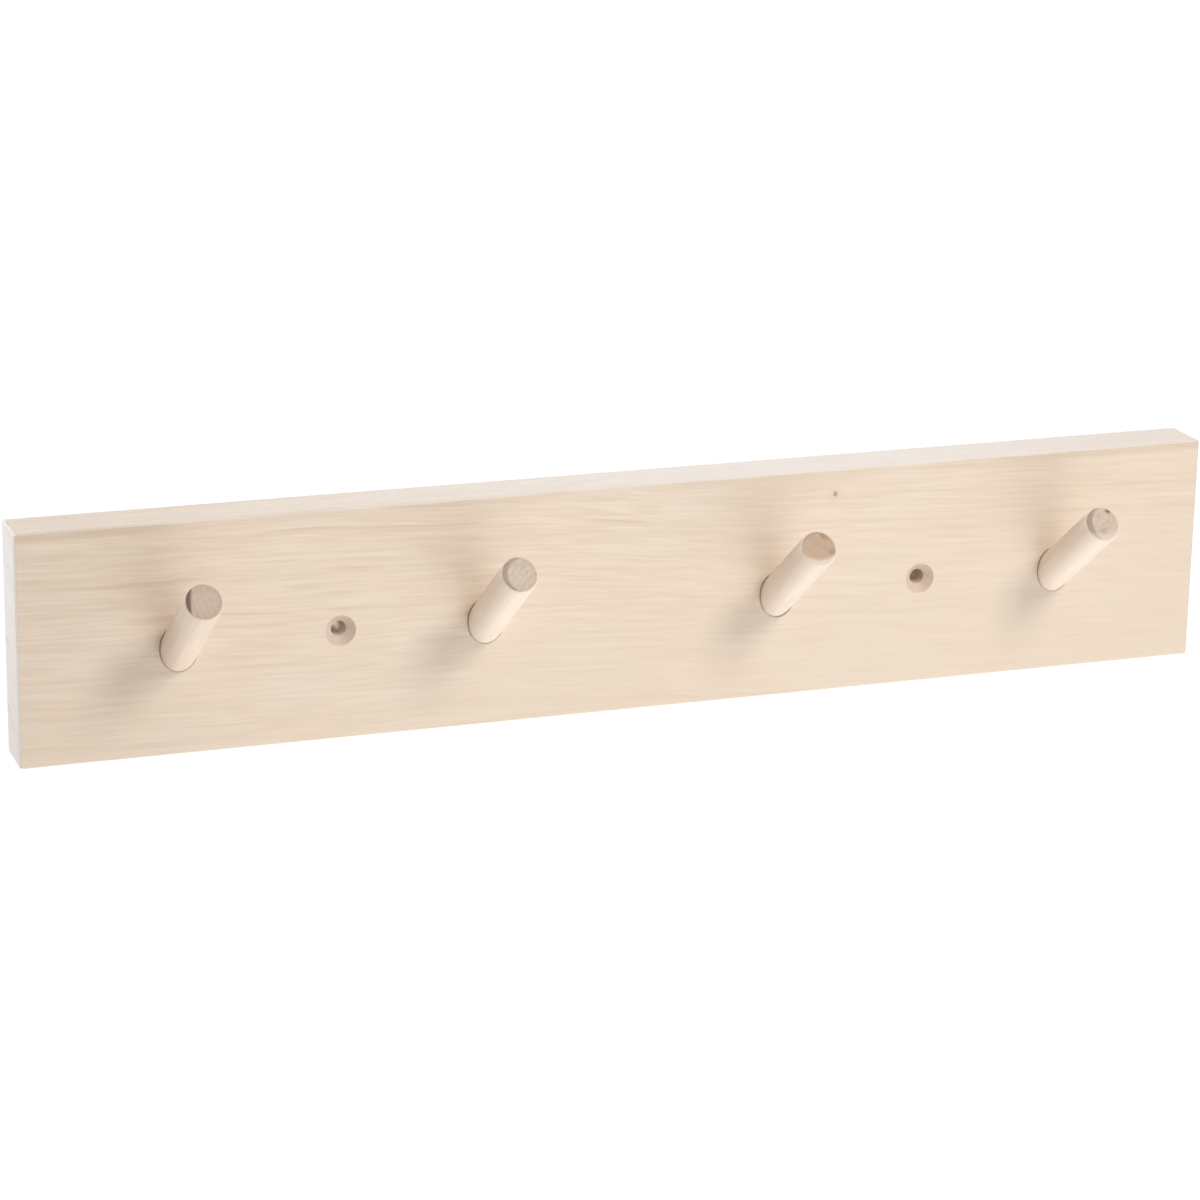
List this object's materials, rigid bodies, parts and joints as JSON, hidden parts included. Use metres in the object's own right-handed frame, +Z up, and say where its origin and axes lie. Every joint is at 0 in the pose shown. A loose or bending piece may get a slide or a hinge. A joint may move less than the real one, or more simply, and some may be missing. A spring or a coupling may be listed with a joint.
{
  "type": "wall coat rack",
  "caption": "Wall coat rack: a plain pale wooden board with round dowel pegs leaning upward to hold coats, and countersunk screw holes for fixing it to a wall.",
  "frame": {"origin": "centre of the board's back face, which lies against the wall", "axes": "+X along the board to the right as seen from the room, +Y into the wall, +Z up; the pegs are on the -Y side"},
  "size_m": [0.4, 0.054, 0.075],
  "materials": {
    "board_wood": "planed and sanded, unfinished softwood",
    "peg_wood": "sanded, unfinished dowel"
  },
  "bodies": {
    "root": {"backboard": "board_wood", "peg_1": "peg_wood", "peg_2": "peg_wood", "peg_3": "peg_wood", "peg_4": "peg_wood"}
  },
  "joints": []
}
